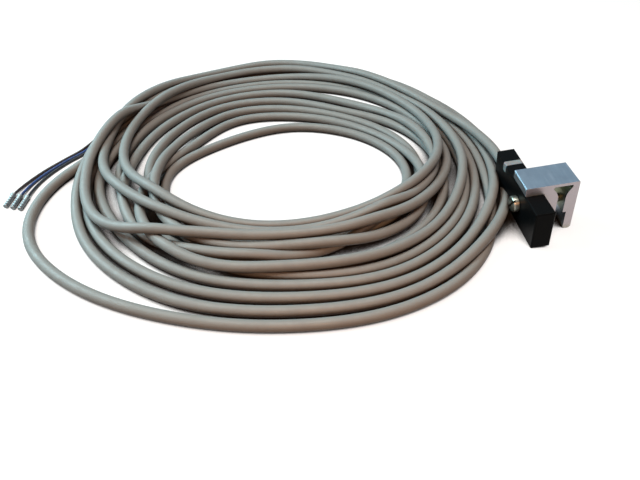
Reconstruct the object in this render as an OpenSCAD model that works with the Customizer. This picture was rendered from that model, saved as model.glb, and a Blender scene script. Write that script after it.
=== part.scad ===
// Proximity sensor for a pneumatic cylinder, with its clamping bracket and coiled cable.
// The sensor is drawn standing on its own base and then leaned over, so that it lies on
// the bottom edge of the housing and on the foot of the bracket, as it does on a table.
// X runs across the sensor, Y along it towards the cable, and Z is up. Millimetres.

/* [Housing] */
// Length of the moulded housing
housing_l = 36; // [34:0.5:42]
// Width of the housing, along the screw
housing_w = 6; // [5.8:0.1:7]
// Height of the housing
housing_h = 13.8; // [13.2:0.1:16]
// Wall of the housing
wall = 1; // [0.8:0.05:1.1]
// Thickness of the rear wall that holds the cable seal
rear_wall = 4; // [3:0.25:4.5]
// Radius of the housing's outer edges
edge_r = 0.5; // [0.3:0.05:0.6]
// Thickness of the side cover
cover_t = 0.8; // [0.6:0.05:1]
// Width of the ledge that the side cover lies on
ledge_w = 0.4; // [0.3:0.05:0.5]
// Clearance round pieces that drop into the housing
drop_gap = 0.05; // [0.03:0.01:0.1]

/* [Light window] */
// Width of the light window along the housing
window_w = 2.3; // [1.8:0.1:3]
// Distance from the window's near edge to the rear end
window_rear = 9.3; // [8.8:0.1:10.5]
// How far the window comes down the left side
window_drop = 2.9; // [2:0.1:4]

/* [Clamping screw] */
// Diameter of the screw's shank
screw_d = 3; // [2.5:0.5:3]
// Length of the screw under its head
screw_l = 16; // [15:0.5:16.5]
// Diameter of the cheese head
head_d = 5.5; // [5:0.1:5.8]
// Height of the cheese head
head_h = 2; // [1.6:0.1:2.4]
// Width of the driver slot
slot_w = 0.8; // [0.6:0.05:1]
// Depth of the driver slot
slot_depth = 0.9; // [0.6:0.05:1.2]
// Bevel on the head and on the screw's point
screw_bevel = 0.25; // [0.1:0.05:0.4]
// Turn of the driver slot at rest, in degrees from upright
slot_turn = 35; // [0:5:175]
// Distance from the housing's front end to the screw's axis
screw_y = 14.4; // [13.5:0.1:15.5]
// Height of the screw's axis above the housing's underside
screw_z = 7.2; // [7:0.1:7.6]
// Radial clearance of the shank in the bracket's threaded leg
thread_gap = 0.03; // [0.02:0.01:0.05]
// Radial clearance of the shank in the bush
bush_gap = 0.05; // [0.03:0.01:0.1]
// Radial clearance of the shank in the bracket's plain leg
leg_gap = 0.2; // [0.1:0.05:0.3]
// Wall of the metal bush round the screw
bush_wall = 0.9; // [0.7:0.05:1]
// Wall of the moulded boss round the bush
boss_wall = 0.8; // [0.6:0.05:0.85]

/* [Bracket] */
// Overall width of the bracket
bracket_w = 16.7; // [16.5:0.1:17.5]
// Length of the bracket along the housing
bracket_l = 10.5; // [8:0.5:11]
// Thickness of the plate over the housing
plate_t = 3; // [2.4:0.1:3.5]
// Thickness of the thin web over the channel, where the bracket flexes
web_t = 1; // [0.8:0.05:1.3]
// Width of the channel at its roof
channel_w = 5.9; // [5.4:0.1:6]
// Wall beside the channel at its roof
cheek_t = 2; // [1.8:0.1:2.2]
// Height of the channel's upright wall below the roof
channel_h = 0.9; // [0.6:0.1:1.2]
// Height over which the channel narrows to the slot
taper_h = 3.9; // [3:0.1:4.2]
// Width of the slot between the two legs
gap_w = 2.5; // [2:0.1:2.8]
// Thickness of the right leg, which holds the thread
leg_t = 3.6; // [3.2:0.1:3.8]
// Width between the jaws that grip the cylinder's rail
jaw_w = 5.1; // [5:0.1:5.3]
// Height of the jaws
jaw_h = 5; // [4.8:0.1:5.1]
// Thickness of the right jaw
jaw_t = 2.5; // [2.2:0.1:2.6]
// How far the right leg reaches below the housing's underside
leg_drop = 2.1; // [1.5:0.1:2.5]
// Broken edge along the bracket's corners
edge_break = 0.3; // [0.2:0.05:0.4]
// Bevel on both sides of the right leg's foot
foot_bevel = 0.6; // [0.4:0.05:0.8]

/* [Inside] */
// Thickness of the circuit board
board_t = 0.8; // [0.6:0.1:0.8]
// Margin of the board inside the housing's pocket
board_gap = 0.2; // [0.1:0.05:0.25]
// Clearance between the board and the boss
boss_gap = 0.1; // [0.05:0.05:0.15]
// Diameter of the reed switch's glass
reed_d = 2; // [1.8:0.1:2]
// Length of the reed switch's glass
reed_l = 12; // [10:0.5:12]
// Wall of the reed switch's glass
reed_wall = 0.35; // [0.3:0.05:0.4]
// Length of the closed glass at each end
reed_seal = 1.8; // [1.5:0.1:2.2]
// Diameter of the reed's lead wires
reed_wire_d = 0.5; // [0.4:0.05:0.6]
// Length of lead wire outside the glass at each end
reed_tail = 2; // [1.6:0.1:2.2]
// Distance from the housing's front end to the middle of the reed switch
reed_y = 11; // [10:0.5:11.5]
// Width of the reed's flat blades
blade_w = 0.9; // [0.7:0.05:1]
// Thickness of the reed's flat blades
blade_t = 0.2; // [0.15:0.05:0.25]
// Overlap of the two blades
blade_lap = 1; // [0.6:0.1:1.4]
// Gap between the two blades
blade_gap = 0.15; // [0.1:0.05:0.2]
// Length of the light-emitting diode along the board
led_l = 1.6; // [1.2:0.1:2]
// Width of the light-emitting diode, up the board
led_w = 0.8; // [0.6:0.1:1]
// Height of the light-emitting diode off the board
led_h = 0.8; // [0.6:0.1:1.2]
// Length of the resistor
resistor_l = 2; // [1.6:0.1:2.4]
// Width of the resistor
resistor_w = 1.25; // [0.8:0.05:1.4]
// Height of the resistor off the board
resistor_h = 0.5; // [0.4:0.05:0.7]
// Distance of the resistor below the pocket's top
resistor_drop = 1.8; // [1.5:0.1:2]
// Diameter of the protection diode
diode_d = 1.4; // [1.2:0.1:1.6]
// Length of the protection diode
diode_l = 3.5; // [3:0.1:3.8]
// Height of the diode's axis above the housing's underside
diode_z = 3.9; // [3.5:0.1:4]
// Distance from the boss to the resistor and the diode
part_gap = 2; // [1.5:0.1:2.2]
// Radius of a solder joint
solder_r = 0.5; // [0.4:0.05:0.5]

/* [Cable] */
// Diameter of the cable
cable_d = 3.5; // [3.2:0.1:3.6]
// Diameter of each insulated core
core_d = 1; // [0.8:0.05:1]
// Spacing of the cores where they are soldered to the board
core_step = 1.05; // [1.05:0.05:1.15]
// Wall of the rubber seal round the cable
seal_wall = 0.5; // [0.4:0.05:0.6]
// Length of core between the cable's end and its solder joint
core_tail = 3.4; // [2.5:0.1:3.6]
// Diameter of the ferrule on each core
ferrule_d = 1.5; // [1.3:0.1:1.6]
// Length of the ferrule's straight tube
ferrule_l = 6; // [5:0.5:8]
// Height of the coil of cable
coil_h = 10.5; // [10:0.5:12]

/* [Hidden] */
$fn = 48;
over = 1;

// The pocket of the housing, open to the right
pocket_l = housing_l - wall - rear_wall;
pocket_h = housing_h - 2 * wall;
cover_x = housing_w - cover_t;
seat_gap = drop_gap;

// Screw, bush and boss share one axis
bush_in = screw_d + 2 * bush_gap;
bush_out = bush_in + 2 * bush_wall;
boss_out = bush_out + 2 * boss_wall;

// The bracket's section, in X and Z
plate_top = housing_h + plate_t;
roof_z = plate_top - web_t;
channel_right = bracket_w - cheek_t;
channel_left = channel_right - channel_w;
shoulder_z = roof_z - channel_h;
neck_z = shoulder_z - taper_h;
gap_right = bracket_w - leg_t;
gap_left = gap_right - gap_w;
jaw_right = bracket_w - jaw_t;
jaw_left = jaw_right - jaw_w;
bracket_front = screw_y - bracket_l / 2;

// The lean at which the housing's round bottom edge and the bracket's foot touch the table
foot_in = jaw_right + foot_bevel;
foot_slope = atan2(leg_drop + edge_r, foot_in - edge_r);
foot_reach = norm([leg_drop + edge_r, foot_in - edge_r]);
lean = foot_slope - asin(edge_r / foot_reach);

// Where the leaning sensor reaches sideways: its screw head and the foot of the bracket
head_top = screw_z + head_d / 2 - screw_bevel;
foot_z = -leg_drop + foot_bevel;
reach_left = (head_h + seat_gap) * cos(lean) + head_top * sin(lean);
reach_right = bracket_w * cos(lean) - foot_z * sin(lean);

// The sensor's middle comes to lie over the origin
shift_x = (reach_left - reach_right) / 2;
shift_y = -housing_l / 2;
shift_z = edge_r * (1 - sin(lean) - cos(lean));

// Board and what stands on it
board_x = wall + board_t;
board_l = pocket_l - 2 * board_gap;
board_h = pocket_h - 2 * board_gap;
reed_x = board_x + reed_d / 2;
reed_z = wall + board_gap + reed_d / 2;
joint_h = reed_d / 2 - reed_wire_d / 2;
window_y = housing_l - window_rear;
pocket_top = housing_h - wall;
part_y = screw_y + boss_out / 2 + part_gap;

// The cable leaves through the middle of the rear wall
cable_r = cable_d / 2;
core_r = core_d / 2;
cable_x = housing_w / 2;
cable_z = housing_h / 2;
inner_end_y = housing_l - rear_wall;
seal_d = cable_d + 2 * seal_wall;
core_x = board_x + core_r;
cable_exit = at_rest([cable_x, housing_l, cable_z]);

// The coil lies beside the sensor, a little way from it; its inner and outer radius
coil_in = 38;
coil_out = 75;
coil_round = 4;
coil_clear = 8;
coil_x = -coil_clear - coil_out;
coil_y = 33;

// Route of the cable from the housing into the coil, on the table's X, Y and Z.
// The first two points follow the housing, the others were chosen by hand.
lead_in_route = concat(
    [at_rest([cable_x, inner_end_y, cable_z]), cable_exit, cable_exit + [0, 7, 0]],
    [[-4.8, 31, 6.4], [-5.8, 39.5, 5.4], [-8.1, 48.4, 5.1], [-12.1, 57.5, 5.1], [-18, 67, 5.2]]);

// Route of the loose outer turn, which lies round the front of the coil: its left and its
// right part, which meet in front
loop_left_route = [[-151, 45, 1.8], [-158.2, 37.5, 1.8], [-164, 28.8, 1.8], [-167.5, 19, 1.8],
    [-168.6, 8.7, 1.8], [-167, -1.6, 1.8], [-162.2, -10.8, 1.8], [-155.2, -18.6, 1.8],
    [-147.3, -25.3, 1.8], [-138.5, -30.9, 1.8], [-129, -35.4, 1.8], [-119.2, -39, 1.8],
    [-109.2, -41.8, 1.8], [-99, -43.9, 1.8]];
loop_right_route = [[-99, -43.9, 1.8], [-88.6, -45, 1.8], [-78.1, -45.2, 1.8],
    [-67.7, -44.8, 1.8], [-57.4, -43, 1.8], [-47.5, -39.8, 1.8], [-38.2, -35.2, 1.8],
    [-29.7, -29.1, 1.8], [-22.8, -21.3, 1.8], [-17.5, -12.3, 1.8], [-13.9, -2.5, 1.8],
    [-11.7, 7.7, 1.8], [-10, 18, 1.8]];
loop_meet_dir = [10.3, -1.6, 0];

// Route of the cable's last stretch, which comes out from under the back of the coil
tail_route = [[-133, 87.5, 1.8], [-140, 84.4, 1.8], [-146.2, 78.6, 1.8], [-151, 71.4, 1.8],
    [-154, 63.5, 1.8]];
tail_dir = [-0.4, -0.92, 0];

// Routes of the three cores from the end of the jacket to their ferrules
lead_end_dir = [-0.05, -1, 0];
brown_route = [[-154.46, 63.7, 2.1], [-158.5, 56.6, 1.3], [-162.6, 49.4, 0.6],
    [-167.8, 42.6, 0.5], [-172.9, 35.3, 0.5], [-176.6, 27.9, 0.6], [-178.7, 20.8, 1]];
blue_route = [[-154, 63.5, 1.1], [-157.5, 56, 0.6], [-161.3, 48.6, 0.5],
    [-166.8, 41.6, 0.5], [-171.4, 34.4, 0.5], [-174.6, 27.1, 0.6], [-176, 19.8, 1]];
black_route = [[-153.54, 63.3, 2.1], [-156.5, 55.7, 1.4], [-160.2, 47.9, 0.6],
    [-165.6, 40.8, 0.5], [-169.8, 33.6, 0.5], [-172.4, 26.3, 0.6], [-173.3, 19, 1]];

// A point of the sensor, where it comes to lie on the table
function at_rest(p) = [
    shift_x + p[0] * cos(lean) - p[2] * sin(lean),
    shift_y + p[1],
    shift_z + p[0] * sin(lean) + p[2] * cos(lean)];

function unit(v) = v / norm(v);

// A curve through three points, by the middle one as its control point
function bend(a, b, c, n) = [
    for (i = [0:n]) let (t = i / n)
        (1 - t) * (1 - t) * a + 2 * t * (1 - t) * b + t * t * c];

// A smooth curve through all points of a route, with n steps from one to the next
function point_on(p, i) = p[max(0, min(i, len(p) - 1))];
function between(a, b, c, d, t) = 0.5 * (2 * b + (c - a) * t
    + (2 * a - 5 * b + 4 * c - d) * t * t + (3 * b - a - 3 * c + d) * t * t * t);
function smooth(p, n) = concat(
    [for (i = [0:len(p) - 2], k = [0:n - 1])
        between(point_on(p, i - 1), p[i], p[i + 1], point_on(p, i + 2), k / n)],
    [p[len(p) - 1]]);

// Rings of points round a route, and the tube that joins them
function heading(p, i, first, last) = i == 0 ? unit(first)
    : i == len(p) - 1 ? unit(last) : unit(p[i + 1] - p[i - 1]);
function ring(c, dir, r, sides) = let (
        side = unit(cross(dir, [0, 0, 1])),
        up = cross(side, dir))
    [for (k = [0:sides - 1]) let (a = 360 * k / sides)
        c + r * (cos(a) * side + sin(a) * up)];

module tube(route, r, first, last, sides = 8) {
    rings = [for (i = [0:len(route) - 1])
        ring(route[i], heading(route, i, first, last), r, sides)];
    points = [for (loop = rings, p = loop) p];
    last_ring = len(route) - 1;
    walls = [for (i = [0:last_ring - 1], k = [0:sides - 1]) let (m = (k + 1) % sides)
        [i * sides + k, i * sides + m, (i + 1) * sides + m, (i + 1) * sides + k]];
    near_end = [[for (k = [sides - 1:-1:0]) k]];
    far_end = [[for (k = [0:sides - 1]) last_ring * sides + k]];
    polyhedron(points = points, faces = concat(walls, near_end, far_end), convexity = 6);
}

// Puts what is drawn upright where it lies on the table
module leaning() {
    translate([shift_x, shift_y, shift_z])
        rotate([0, -lean, 0])
            children();
}

module along_x(x, y, z) {
    translate([x, y, z])
        rotate([0, 90, 0])
            children();
}

module along_y(x, y, z) {
    translate([x, y, z])
        rotate([-90, 0, 0])
            children();
}

// A rectangle with round corners, from the origin
module round_rect(w, h, r) {
    translate([r, 0])
        square([w - 2 * r, h]);
    translate([0, r])
        square([w, h - 2 * r]);
    for (x = [r, w - r], y = [r, h - r])
        translate([x, y])
            circle(r = r);
}

// The housing's outer form, a block whose edges are all rounded
module block_form() {
    intersection() {
        translate([0, housing_l, 0])
            rotate([90, 0, 0])
                linear_extrude(housing_l)
                    round_rect(housing_w, housing_h, edge_r);
        linear_extrude(housing_h)
            round_rect(housing_w, housing_l, edge_r);
        rotate([90, 0, 90])
            linear_extrude(housing_w)
                round_rect(housing_l, housing_h, edge_r);
    }
}

// The light window's band, over the top and down the left side
module window_band() {
    translate([-over, window_y, pocket_top])
        cube([housing_w + 2 * over, window_w, wall + over]);
    translate([-over, window_y, housing_h - window_drop])
        cube([wall + over, window_w, window_drop + over]);
}

module housing() {
    color("#111214")
    leaning() {
        difference() {
            block_form();
            translate([wall, wall, wall])
                cube([housing_w, pocket_l, pocket_h]);
            translate([cover_x, wall - ledge_w, wall - ledge_w])
                cube([housing_w, pocket_l + 2 * ledge_w, pocket_h + ledge_w]);
            along_x(-over, screw_y, screw_z)
                cylinder(d = bush_out, h = wall + 2 * over);
            along_y(cable_x, inner_end_y - over, cable_z)
                cylinder(d = seal_d, h = rear_wall + 2 * over);
            window_band();
        }
        difference() {
            along_x(wall - over / 2, screw_y, screw_z)
                cylinder(d = boss_out, h = cover_x - wall + over / 2);
            along_x(-over, screw_y, screw_z)
                cylinder(d = bush_out, h = housing_w + 2 * over);
        }
    }
}

// Plate that closes the pocket, let into the housing's right side round the bush
module side_cover() {
    color("#15161a")
    leaning()
        difference() {
            translate([cover_x, wall - ledge_w + drop_gap, wall - ledge_w + drop_gap])
                cube([cover_t, pocket_l + 2 * (ledge_w - drop_gap),
                    pocket_h + ledge_w - 2 * drop_gap]);
            along_x(cover_x - over, screw_y, screw_z)
                cylinder(d = bush_out + 2 * drop_gap, h = cover_t + 2 * over);
        }
}

module light_window() {
    color("#c9cbd0")
    leaning()
        intersection() {
            block_form();
            window_band();
        }
}

module screw_bush() {
    color("#b9b7b0")
    leaning()
        difference() {
            along_x(0, screw_y, screw_z)
                cylinder(d = bush_out, h = housing_w);
            along_x(-over, screw_y, screw_z)
                cylinder(d = bush_in, h = housing_w + 2 * over);
        }
}

// Slotted cheese-head screw; its head stands clear of the bush by the seat gap
module clamp_screw() {
    color("#b5b8bd")
    leaning()
        difference() {
            union() {
                along_x(-seat_gap - head_h, screw_y, screw_z)
                    cylinder(d1 = head_d - 2 * screw_bevel, d2 = head_d, h = screw_bevel);
                along_x(-seat_gap - head_h + screw_bevel, screw_y, screw_z)
                    cylinder(d = head_d, h = head_h - screw_bevel);
                along_x(-seat_gap - screw_bevel, screw_y, screw_z)
                    cylinder(d = screw_d, h = screw_l);
                along_x(-seat_gap - screw_bevel + screw_l, screw_y, screw_z)
                    cylinder(d1 = screw_d, d2 = screw_d - 2 * screw_bevel, h = screw_bevel);
            }
            translate([-seat_gap - head_h, screw_y, screw_z])
                rotate([slot_turn, 0, 0])
                    translate([-over, -slot_w / 2, -head_d])
                        cube([over + slot_depth, slot_w, 2 * head_d]);
        }
}

// The bracket's section, once round: up the left leg, over the housing, down the right leg,
// and back through the right jaw, the slot, the channel under the web and the left jaw
function bracket_section() = concat(
    [[housing_w + edge_break, 0], [housing_w, edge_break], [housing_w, housing_h]],
    [[edge_break, housing_h], [0, housing_h + edge_break]],
    [[0, plate_top - edge_break], [edge_break, plate_top]],
    [[bracket_w - edge_break, plate_top], [bracket_w, plate_top - edge_break]],
    [[bracket_w, foot_z], [bracket_w - foot_bevel, -leg_drop]],
    [[foot_in, -leg_drop], [jaw_right, foot_z], [jaw_right, jaw_h], [gap_right, jaw_h]],
    bend([gap_right, neck_z], [gap_right, (shoulder_z + neck_z) / 2],
        [channel_right, shoulder_z], 6),
    bend([channel_right, roof_z - edge_break], [channel_right, roof_z],
        [channel_right - edge_break, roof_z], 3),
    bend([channel_left + edge_break, roof_z], [channel_left, roof_z],
        [channel_left, roof_z - edge_break], 3),
    bend([channel_left, shoulder_z], [gap_left, (shoulder_z + neck_z) / 2],
        [gap_left, neck_z], 6),
    [[gap_left, jaw_h], [jaw_left, jaw_h], [jaw_left, edge_break], [jaw_left - edge_break, 0]]);

// One cut of an aluminium extrusion, drilled for the screw and threaded in the right leg
module bracket() {
    color("#a7abb0")
    leaning()
        difference() {
            translate([0, bracket_front + bracket_l, 0])
                rotate([90, 0, 0])
                    linear_extrude(bracket_l)
                        polygon(bracket_section());
            along_x(housing_w - over, screw_y, screw_z)
                cylinder(d = screw_d + 2 * leg_gap, h = gap_left - housing_w + 2 * over);
            along_x(gap_right - over, screw_y, screw_z)
                cylinder(d = screw_d + 2 * thread_gap, h = leg_t + 2 * over);
        }
}

module circuit_board() {
    color("#1f5a36")
    leaning()
        difference() {
            translate([wall, wall + board_gap, wall + board_gap])
                cube([board_t, board_l, board_h]);
            along_x(wall - over, screw_y, screw_z)
                cylinder(d = boss_out + 2 * boss_gap, h = board_t + 2 * over);
        }
}

// Outline of the reed switch's glass: distance from the axis, and place along it
module glass_section() {
    nose = reed_d / 2 - reed_wire_d / 2;
    bore = reed_wire_d / 2;
    difference() {
        union() {
            translate([0, nose])
                square([reed_d / 2, reed_l - 2 * nose]);
            square([bore, reed_l]);
            for (y = [nose, reed_l - nose])
                intersection() {
                    translate([bore, y])
                        circle(r = nose);
                    square([reed_d / 2, reed_l]);
                }
        }
        translate([-over, -over])
            square([bore + over, reed_l + 2 * over]);
        translate([-over, reed_seal])
            square([reed_d / 2 - reed_wall + over, reed_l - 2 * reed_seal]);
    }
}

module reed_glass() {
    color("#9fb8a8")
    leaning()
        translate([reed_x, reed_y + reed_l / 2, reed_z])
            rotate([90, 0, 0])
                rotate_extrude()
                    glass_section();
}

// A reed's blade, drawn with its lead wire running back from the glass along -Y
module reed_blade(side) {
    wire_l = reed_tail + reed_seal + blade_w;
    start = -reed_l / 2 - reed_tail;
    along_y(0, start, 0)
        cylinder(d = reed_wire_d, h = wire_l);
    translate([-blade_w / 2, start + wire_l - blade_w, side > 0 ? blade_gap / 2
            : -blade_gap / 2 - blade_t])
        cube([blade_w, -start - wire_l + blade_w + blade_lap / 2, blade_t]);
}

module reed_blade_front() {
    color("#b9b2a0")
    leaning()
        translate([reed_x, reed_y, reed_z])
            reed_blade(1);
}

module reed_blade_rear() {
    color("#b9b2a0")
    leaning()
        translate([reed_x, reed_y, reed_z])
            rotate([0, 0, 180])
                reed_blade(-1);
}

// The diode sits on the board just under the light window
module led() {
    color("#d9a520")
    leaning()
        translate([board_x, window_y + (window_w - led_l) / 2,
                pocket_top - board_gap - led_w])
            cube([led_h, led_l, led_w]);
}

module resistor() {
    color("#2a2a2e")
    leaning()
        translate([board_x, part_y, pocket_top - resistor_drop - resistor_w])
            cube([resistor_h, resistor_l, resistor_w]);
}

module protection_diode() {
    color("#8c3b2a")
    leaning()
        along_y(board_x + diode_d / 2, part_y, diode_z)
            cylinder(d = diode_d, h = diode_l);
}

// Solder on the board: a cone in front of each core, and a post under each reed wire
module solder_joints() {
    color("#c4c6c8")
    leaning() {
        for (k = [-1:1])
            along_x(board_x, inner_end_y - core_tail - solder_r, cable_z + k * core_step)
                cylinder(r1 = solder_r, r2 = solder_r / 2, h = core_r);
        for (side = [-1, 1])
            along_x(board_x, reed_y + side * (reed_l / 2 + reed_tail - solder_r), reed_z)
                cylinder(r1 = solder_r, r2 = solder_r / 2, h = joint_h);
    }
}

module cable_seal() {
    color("#1c1c1e")
    leaning()
        along_y(cable_x, inner_end_y, cable_z)
            difference() {
                cylinder(d = seal_d, h = rear_wall);
                translate([0, 0, -over])
                    cylinder(d = cable_d, h = rear_wall + 2 * over);
            }
}

// A core inside the housing, from the end of the cable's jacket to its solder joint
module inner_wire(k) {
    leaning()
        along_y(core_x, inner_end_y - core_tail, cable_z + k * core_step)
            cylinder(d = core_d, h = core_tail);
}

module wire_brown() {
    color("#4a2a1a")
        inner_wire(1);
}

module wire_blue() {
    color("#1c4f9c")
        inner_wire(0);
}

module wire_black() {
    color("#0c0d10")
        inner_wire(-1);
}

module cable_lead_in() {
    color("#8f9294")
        tube(lead_in_route, cable_r, [0, 1, 0], [-3.3, 4.9, 0]);
}

// The coil's outer shape: all the turns together
module cable_coil() {
    color("#9a9d9e")
    translate([coil_x, coil_y, 0])
        rotate_extrude($fn = 96)
            translate([coil_in, 0])
                round_rect(coil_out - coil_in, coil_h, coil_round);
}

module cable_loop_left() {
    color("#8f9294")
        tube(loop_left_route, cable_r, [-7, -7, 0], loop_meet_dir);
}

module cable_loop_right() {
    color("#8f9294")
        tube(loop_right_route, cable_r, loop_meet_dir, [1.4, 10.3, 0]);
}

module cable_tail() {
    color("#8f9294")
        tube(tail_route, cable_r, [-7, -2, 0], tail_dir);
}

module core_lead(route) {
    tube(smooth(route, 2), core_r, tail_dir, lead_end_dir);
}

module lead_brown() {
    color("#4a2a1a")
        core_lead(brown_route);
}

module lead_blue() {
    color("#1c4f9c")
        core_lead(blue_route);
}

module lead_black() {
    color("#0c0d10")
        core_lead(black_route);
}

// Crimped tube with a flared mouth, in line with the end of its core
module ferrule(route) {
    flare = 0.8;
    turn = atan2(lead_end_dir[1], lead_end_dir[0]) + 90;
    translate(route[len(route) - 1])
        rotate([0, 0, turn])
            rotate([90, 0, 0]) {
                cylinder(d1 = ferrule_d + core_d / 2, d2 = ferrule_d, h = flare);
                translate([0, 0, flare])
                    cylinder(d = ferrule_d, h = ferrule_l);
            }
}

module ferrule_brown() {
    color("#a9adb0")
        ferrule(brown_route);
}

module ferrule_blue() {
    color("#a9adb0")
        ferrule(blue_route);
}

module ferrule_black() {
    color("#a9adb0")
        ferrule(black_route);
}

housing();
side_cover();
light_window();
screw_bush();
clamp_screw();
bracket();
circuit_board();
reed_glass();
reed_blade_front();
reed_blade_rear();
led();
resistor();
protection_diode();
solder_joints();
cable_seal();
wire_brown();
wire_blue();
wire_black();
cable_lead_in();
cable_coil();
cable_loop_left();
cable_loop_right();
cable_tail();
lead_brown();
lead_blue();
lead_black();
ferrule_brown();
ferrule_blue();
ferrule_black();
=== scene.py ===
# %% Start
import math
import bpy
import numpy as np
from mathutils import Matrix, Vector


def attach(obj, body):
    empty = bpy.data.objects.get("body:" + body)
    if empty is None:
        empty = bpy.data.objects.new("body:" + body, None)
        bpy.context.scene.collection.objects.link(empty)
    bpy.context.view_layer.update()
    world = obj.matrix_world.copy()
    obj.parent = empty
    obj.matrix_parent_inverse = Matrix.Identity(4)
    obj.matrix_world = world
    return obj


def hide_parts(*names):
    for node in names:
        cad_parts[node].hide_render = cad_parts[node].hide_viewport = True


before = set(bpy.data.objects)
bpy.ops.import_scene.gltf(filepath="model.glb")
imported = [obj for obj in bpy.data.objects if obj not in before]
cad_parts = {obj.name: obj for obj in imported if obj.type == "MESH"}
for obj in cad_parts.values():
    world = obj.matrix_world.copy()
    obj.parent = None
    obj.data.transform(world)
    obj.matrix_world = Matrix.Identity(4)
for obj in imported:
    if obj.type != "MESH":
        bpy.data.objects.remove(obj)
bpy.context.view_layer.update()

# %% [markdown]
# This script dresses a proximity sensor for pneumatic cylinders: a black case, the bracket that
# clamps it to the cylinder's rail, and about five metres of grey cable in a loose coil.
#
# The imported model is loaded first. Its solids are the fixed frame, in metres, and none of them
# is moved. Blender adds what solids do badly: one unbroken cable, a screw thread, the finish of
# each material, and the light. Lengths in this script are in millimetres, because a catalogue
# gives the sizes of such a sensor that way. MM turns them into metres where a mesh is made.

MM = 0.001

# %% [markdown]
# The camera stands where the photographer's stood. Its place, its tilt and its lens were worked
# out from the picture: from the outline of the coil, the size of the housing and the point where
# the edges of the bracket would meet far away. Dragging a camera until the picture fits works
# too, but a measured one also tells how large everything else has to be.
#
# A focal length found in pixels becomes millimetres on the camera's sensor by one ratio: sensor
# width over picture width.

# %% Camera
EYE = Vector((-83.2, -133.5, 112.1)) * MM
TURN, DOWN, ROLL = math.radians(4.69), math.radians(41.97), math.radians(-0.48)
FOCAL_PX, PICTURE_PX, SENSOR_WIDTH = 520.5, 640, 36

look = Vector((math.sin(TURN) * math.cos(DOWN), math.cos(TURN) * math.cos(DOWN), -math.sin(DOWN)))
level_camera = look.to_track_quat("-Z", "Y")
camera = bpy.data.objects.new("camera", bpy.data.cameras.new("camera"))
bpy.context.scene.collection.objects.link(camera)
camera.rotation_mode = "QUATERNION"
camera.location = EYE
camera.rotation_quaternion = level_camera @ Matrix.Rotation(-ROLL, 3, "Z").to_quaternion()
camera.data.sensor_width = SENSOR_WIDTH
camera.data.lens = SENSOR_WIDTH * FOCAL_PX / PICTURE_PX
camera.data.clip_start, camera.data.clip_end = 5 * MM, 10
bpy.context.scene.camera = camera
print("camera", [round(c / MM, 1) for c in camera.location], "lens", round(camera.data.lens, 2))

# %% [markdown]
# The cable is 5 m long and 3.5 mm thick, and was thrown down as a coil. Nobody lays a coil point by
# point, and a spiral made by a formula looks wound by a machine. Here each turn is one row: how
# far it runs from the middle of the coil, read at twelve places round the clock, from the
# sensor's end of the cable to its free end. The rows wander in and out, as the turns of a real
# coil do.
#
# PILE names the same rows from the lowest in the heap to the highest. The loose loop round the
# front, the way back behind the coil and the tail are given as plain points.

# %% Turns of the coil
CABLE_D = 3.5
MIDDLE = (-82.0, 30.0)
TURNS = {
    "first": [None, 72, 77.2, 88.3, 82.2, 75.4, 67.7, 53.8, 43, 39.5, 41.5, 48.5],
    "inside_a": [56, 56.6, 56.9, 61.5, 62.5, 60.5, 58.5, 60.5, 55, 49, 46, 45],
    "inside_b": [45, 38.5, 32.8, 30.6, 29.1, 33.2, 45.4, 48.5, 53.5, 56, 57.5, 58.5],
    "inside_c": [58, 55.5, 49, 53.5, 56.5, 53.9, 52.1, 47.5, 44.8, 42.8, 44.5, 48],
    "inside_d": [50.5, 47.8, 44.1, 46.2, 49.9, 45.8, 46.2, 50.5, 51.3, 46.5, 50.5, 53.5],
    "inside_e": [47.5, 42.5, 39.6, 39.5, 43.1, 40.5, 46.8, 57.4, 59.4, 55, 58, 61.5],
    "top": [66.3, 69.9, 75.2, 80.6, 75.3, 69.4, 59.7, 48, 39.4, 34.9, 36.9, 48.2],
    "sweep": [57, 65.2, 71, 74, 73.5, 74, 72.6, 69, 49.3, 44.2, 46.2, 53],
    "under": [60.5, 65, 68.8, 68, 69, 67, 62.5, 57.5, 54, 55, 61.5, 65],
    "outside_a": [66, 69, 70.5, 71.8, 72, 70, 70, 64.5, 62.5, 60.5, 65.5, 68],
    "outside_b": [69.8, 73, 75, 76, 75.7, 73, 73.5, 71.3, 67.7, 65.3, 69.8, 73],
    "outside_c": [76.4, 77.5, 79.5, 80.5, 79.5, 76, 74, 75.1, 72.8, 70.2, 74.3, 78],
    "last": [80.5, 82, 84, 84.5, 81, 75.5],
}
PILE = ["last", "outside_c", "outside_b", "outside_a", "inside_b", "under", "inside_c",
        "inside_a", "inside_e", "inside_d", "first", "sweep", "top"]
EXIT = (-4.69, 18.0, 7.19)
LEAD_IN = [EXIT[:2], (-4.69, 25), (-4.8, 31), (-5.8, 39.5), (-8.1, 48.4), (-12.1, 57.5)]
LOOSE_LOOP = [(-151, 45), (-158.2, 37.5), (-164, 28.8), (-167.5, 19), (-168.6, 8.7),
              (-167, -1.6), (-162.2, -10.8), (-155.2, -18.6), (-147.3, -25.3), (-138.5, -30.9),
              (-129, -35.4), (-119.2, -39), (-109.2, -41.8), (-99, -43.9), (-88.6, -45),
              (-78.1, -45.2), (-67.7, -44.8), (-57.4, -43), (-47.5, -39.8), (-38.2, -35.2),
              (-29.7, -29.1), (-22.8, -21.3), (-17.5, -12.3), (-13.9, -2.5), (-11.7, 7.7),
              (-10, 18)]
BEHIND = [(-8.8, 32), (-9.5, 46), (-13, 60), (-20, 74), (-29.5, 88), (-41.5, 101), (-55.5, 112),
          (-71, 118), (-87, 118.5), (-103, 115), (-118, 106.5), (-130, 96)]
TAIL = [(-140, 84.4), (-146.2, 78.6), (-151, 71.4), (-154, 63.5)]
print("turns", len(TURNS), "lowest", PILE[0], "highest", PILE[-1])

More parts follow.
